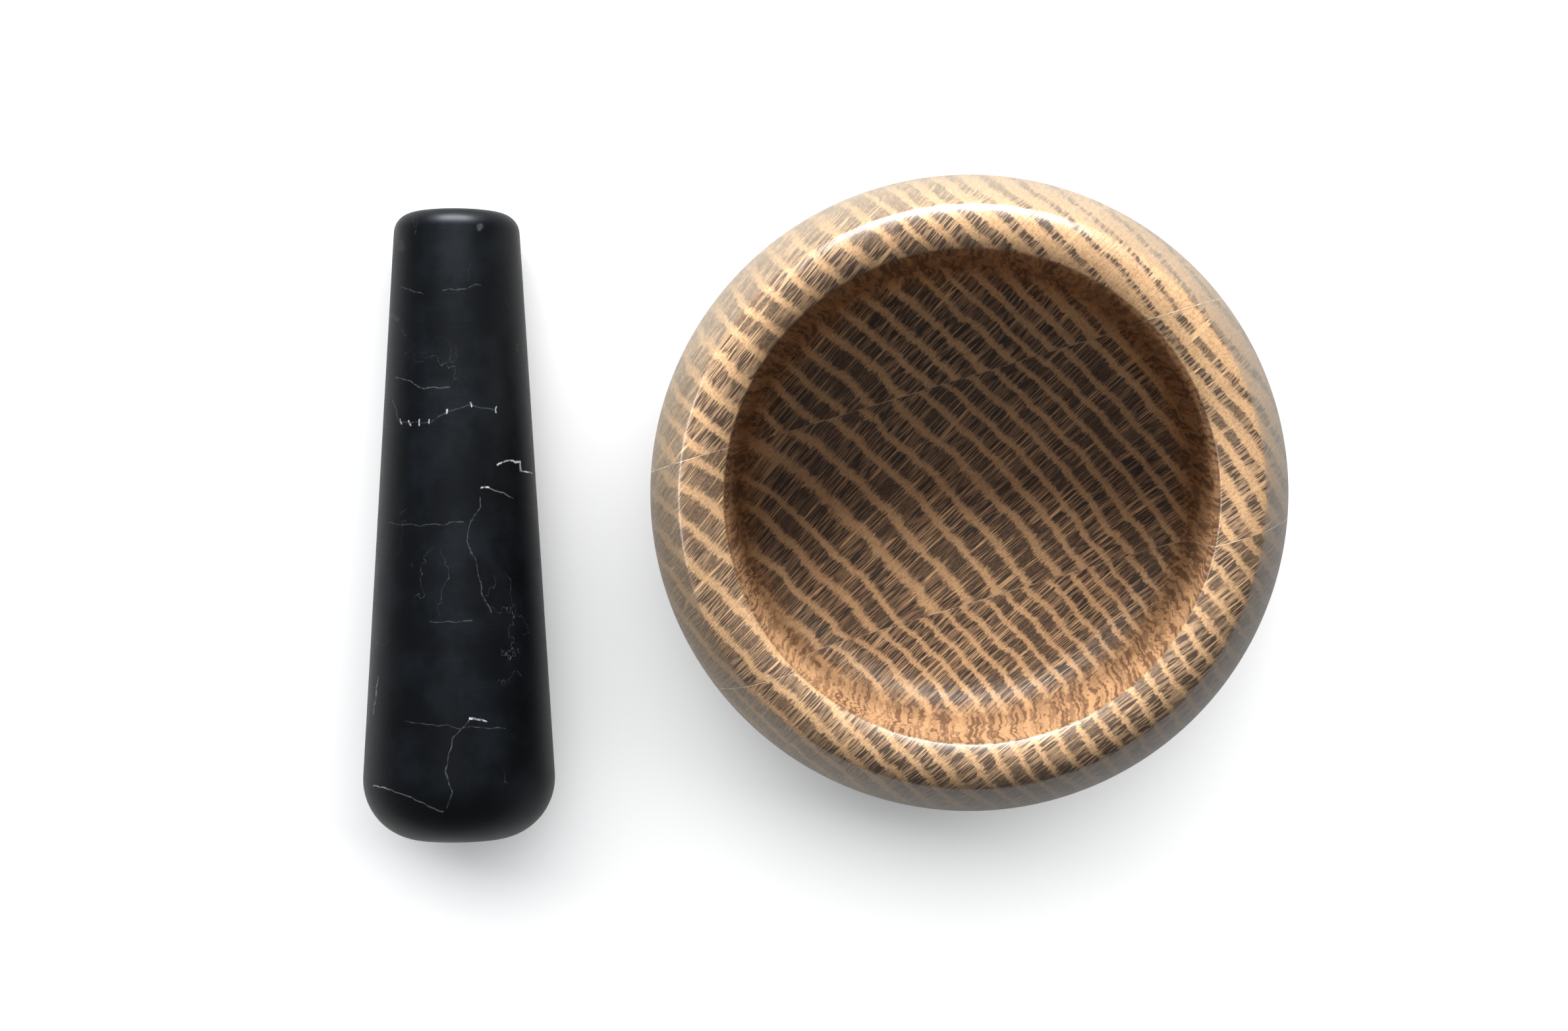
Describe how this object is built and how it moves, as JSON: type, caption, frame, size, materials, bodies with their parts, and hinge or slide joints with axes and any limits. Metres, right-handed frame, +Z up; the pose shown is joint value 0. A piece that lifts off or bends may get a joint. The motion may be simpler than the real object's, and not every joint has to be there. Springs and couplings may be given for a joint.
{
  "type": "mortar and pestle",
  "caption": "Round turned oak mortar with upright end grain and a loose tapered black marble pestle lying beside it, for crushing spices and herbs by hand.",
  "frame": {"origin": "centre of the flat base of the mortar, on the surface that it stands on", "axes": "+Z up out of the bowl; the pestle lies on the -X side, with its thin end towards +Y and its thick end towards -Y"},
  "size_m": [0.2061, 0.1493, 0.0615],
  "materials": {
    "oak": "oiled, satin",
    "glue": "dried wood glue",
    "marble": "honed, satin"
  },
  "bodies": {
    "mortar": {"stave_far": "oak", "stave_centre": "oak", "stave_near": "oak", "glue_line_far": "glue", "glue_line_near": "glue"},
    "pestle": {"pestle": "marble"}
  },
  "joints": [
    {"name": "pestle_lift", "type": "slide", "parent": "mortar", "child": "pestle", "axis": [0, 0, 1], "range_m": [0, 0.15]}
  ]
}
